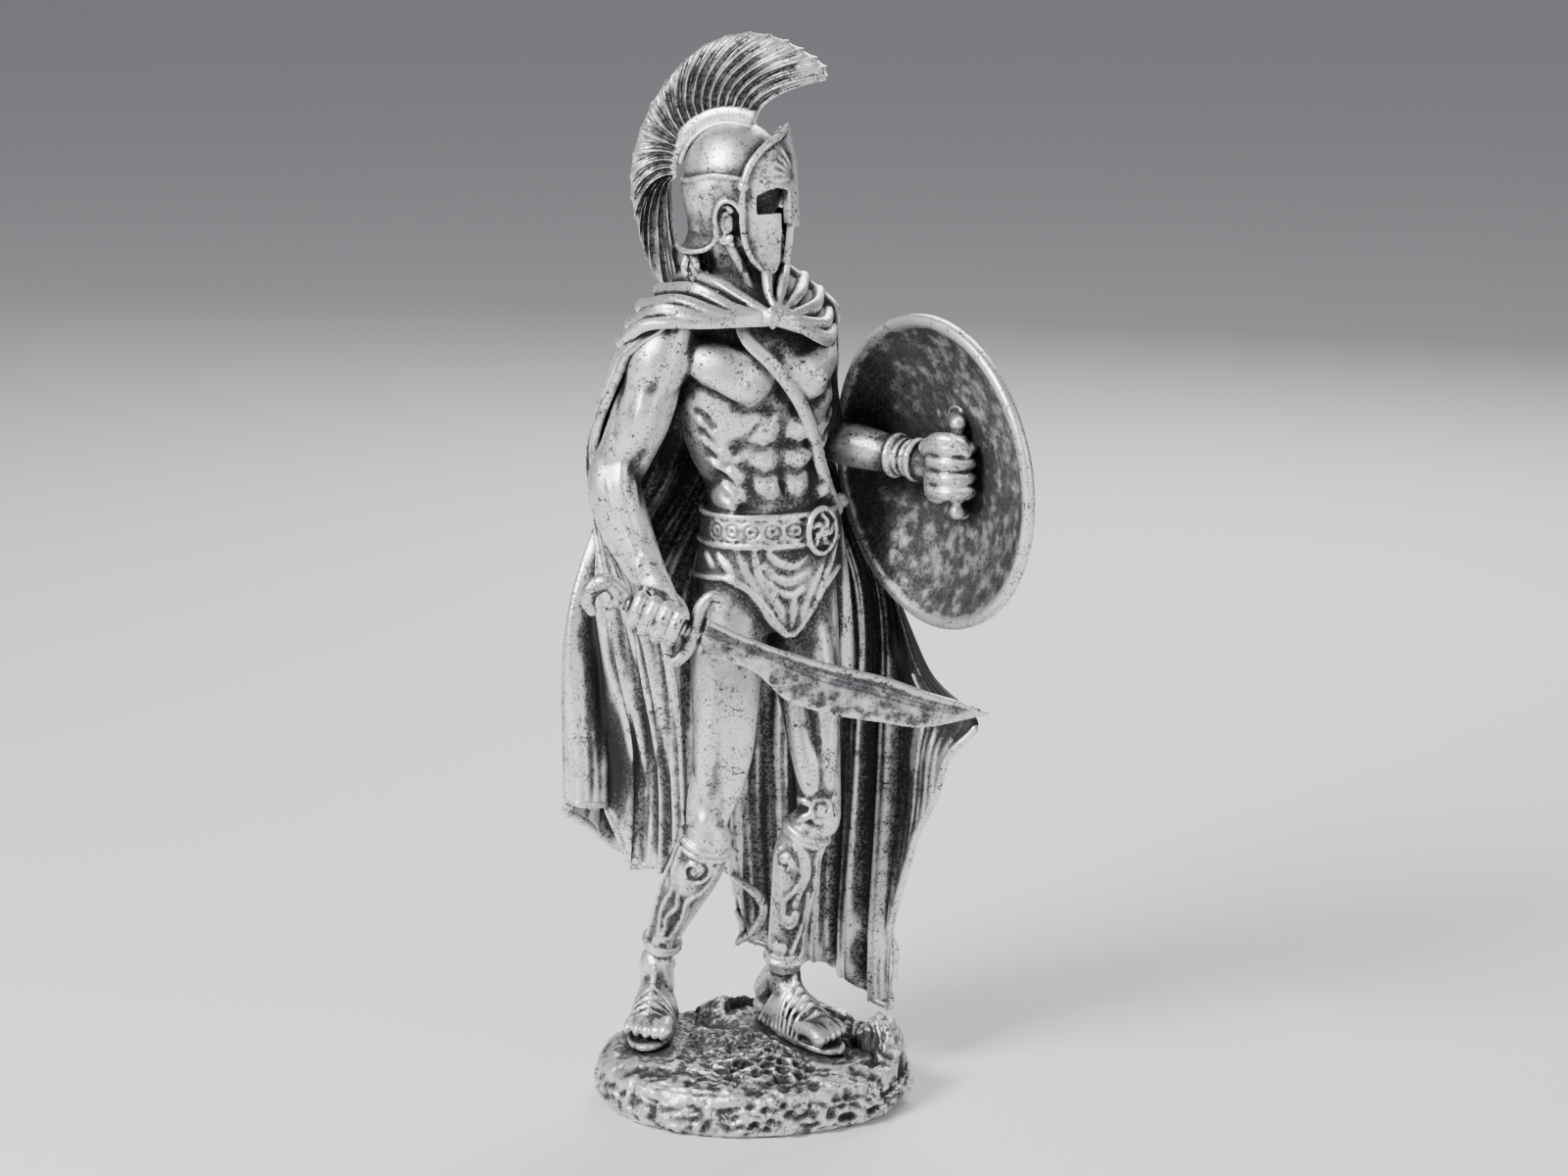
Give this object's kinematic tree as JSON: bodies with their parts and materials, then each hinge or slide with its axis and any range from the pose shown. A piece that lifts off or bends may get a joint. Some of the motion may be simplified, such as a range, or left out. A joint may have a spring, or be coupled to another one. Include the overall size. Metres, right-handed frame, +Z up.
{
  "type": "warrior figurine",
  "caption": "Cast figurine of a helmeted warrior in a cloak with a curved sword and a round shield, standing on a rocky base, for display.",
  "frame": {"origin": "middle of the rock's flat underside", "axes": "+Z up along the figure's height; -Y towards the viewer of the front view; +X to that viewer's right, where the shield is"},
  "size_m": [0.1379, 0.0859, 0.3203],
  "materials": {
    "cast_figure": "antique silver over black patina",
    "cast_rock": "antique silver over black patina",
    "cast_sword": "antique silver over black patina",
    "cast_shield": "antique silver over black patina"
  },
  "bodies": {
    "root": {"warrior": "cast_figure", "rock_base": "cast_rock", "sword": "cast_sword", "shield": "cast_shield"}
  },
  "joints": []
}
